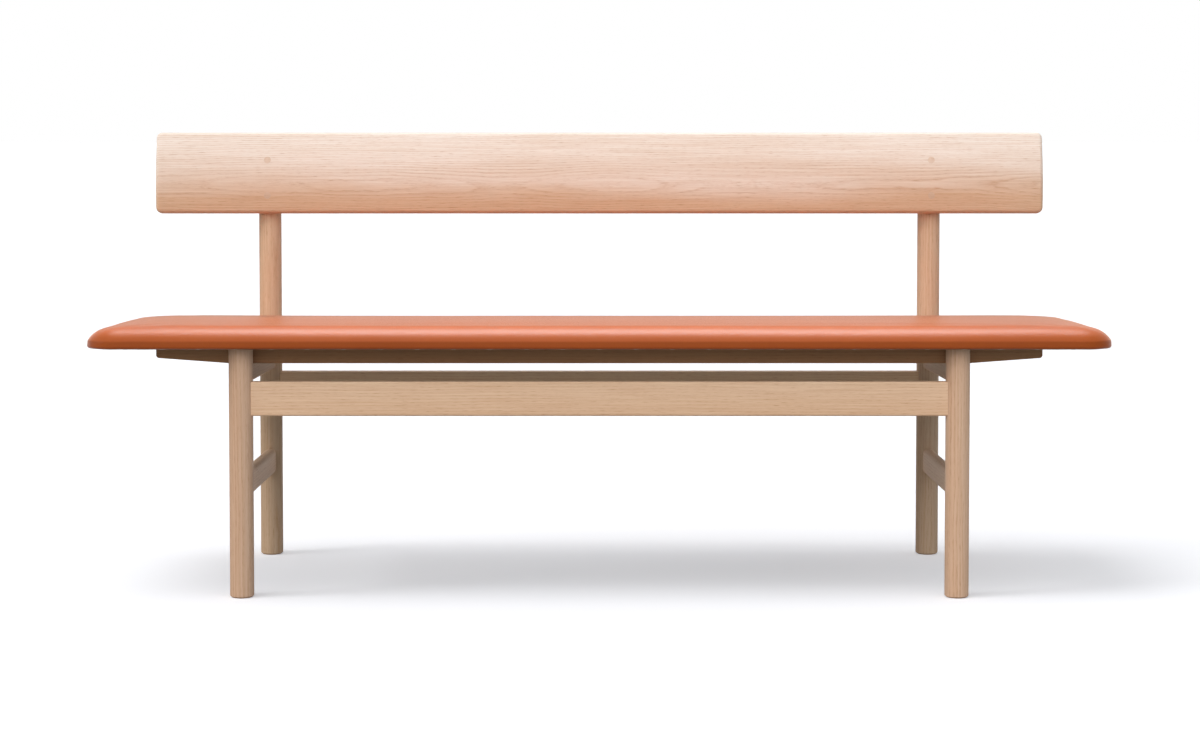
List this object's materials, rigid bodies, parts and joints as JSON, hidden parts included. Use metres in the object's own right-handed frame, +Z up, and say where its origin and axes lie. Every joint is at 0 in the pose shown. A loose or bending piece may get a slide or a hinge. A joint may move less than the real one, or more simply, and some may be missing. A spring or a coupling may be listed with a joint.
{
  "type": "bench with back",
  "caption": "Long oak bench on round legs with a padded tan leather seat and a narrow plank back.",
  "frame": {"origin": "on the floor, under the middle of the bench's box", "axes": "+X along the bench to the right seen from the front, +Y to the back, +Z up"},
  "size_m": [1.699, 0.4681, 0.7612],
  "materials": {
    "oak": "soaped, matt",
    "plywood": "raw",
    "foam": "open-cell foam",
    "leather": "semi-gloss, fine grain",
    "lining": "spunbond cloth",
    "screws": "zinc plated"
  },
  "bodies": {
    "root": {"front_leg_left": "oak", "front_leg_right": "oak", "rear_leg_left": "oak", "rear_leg_right": "oak", "front_rail": "oak", "rear_rail": "oak", "side_stretcher_left": "oak", "side_stretcher_right": "oak", "seat_cross_rail_left": "oak", "seat_cross_rail_right": "oak", "seat_bearer_front": "oak", "seat_bearer_rear": "oak", "back_plank": "oak", "plank_plugs": "oak", "seat_board": "plywood", "seat_foam": "foam", "seat_cover": "leather", "seat_lining": "lining", "seat_screws": "screws", "bearer_screws": "screws", "plank_screws": "screws"}
  },
  "joints": []
}
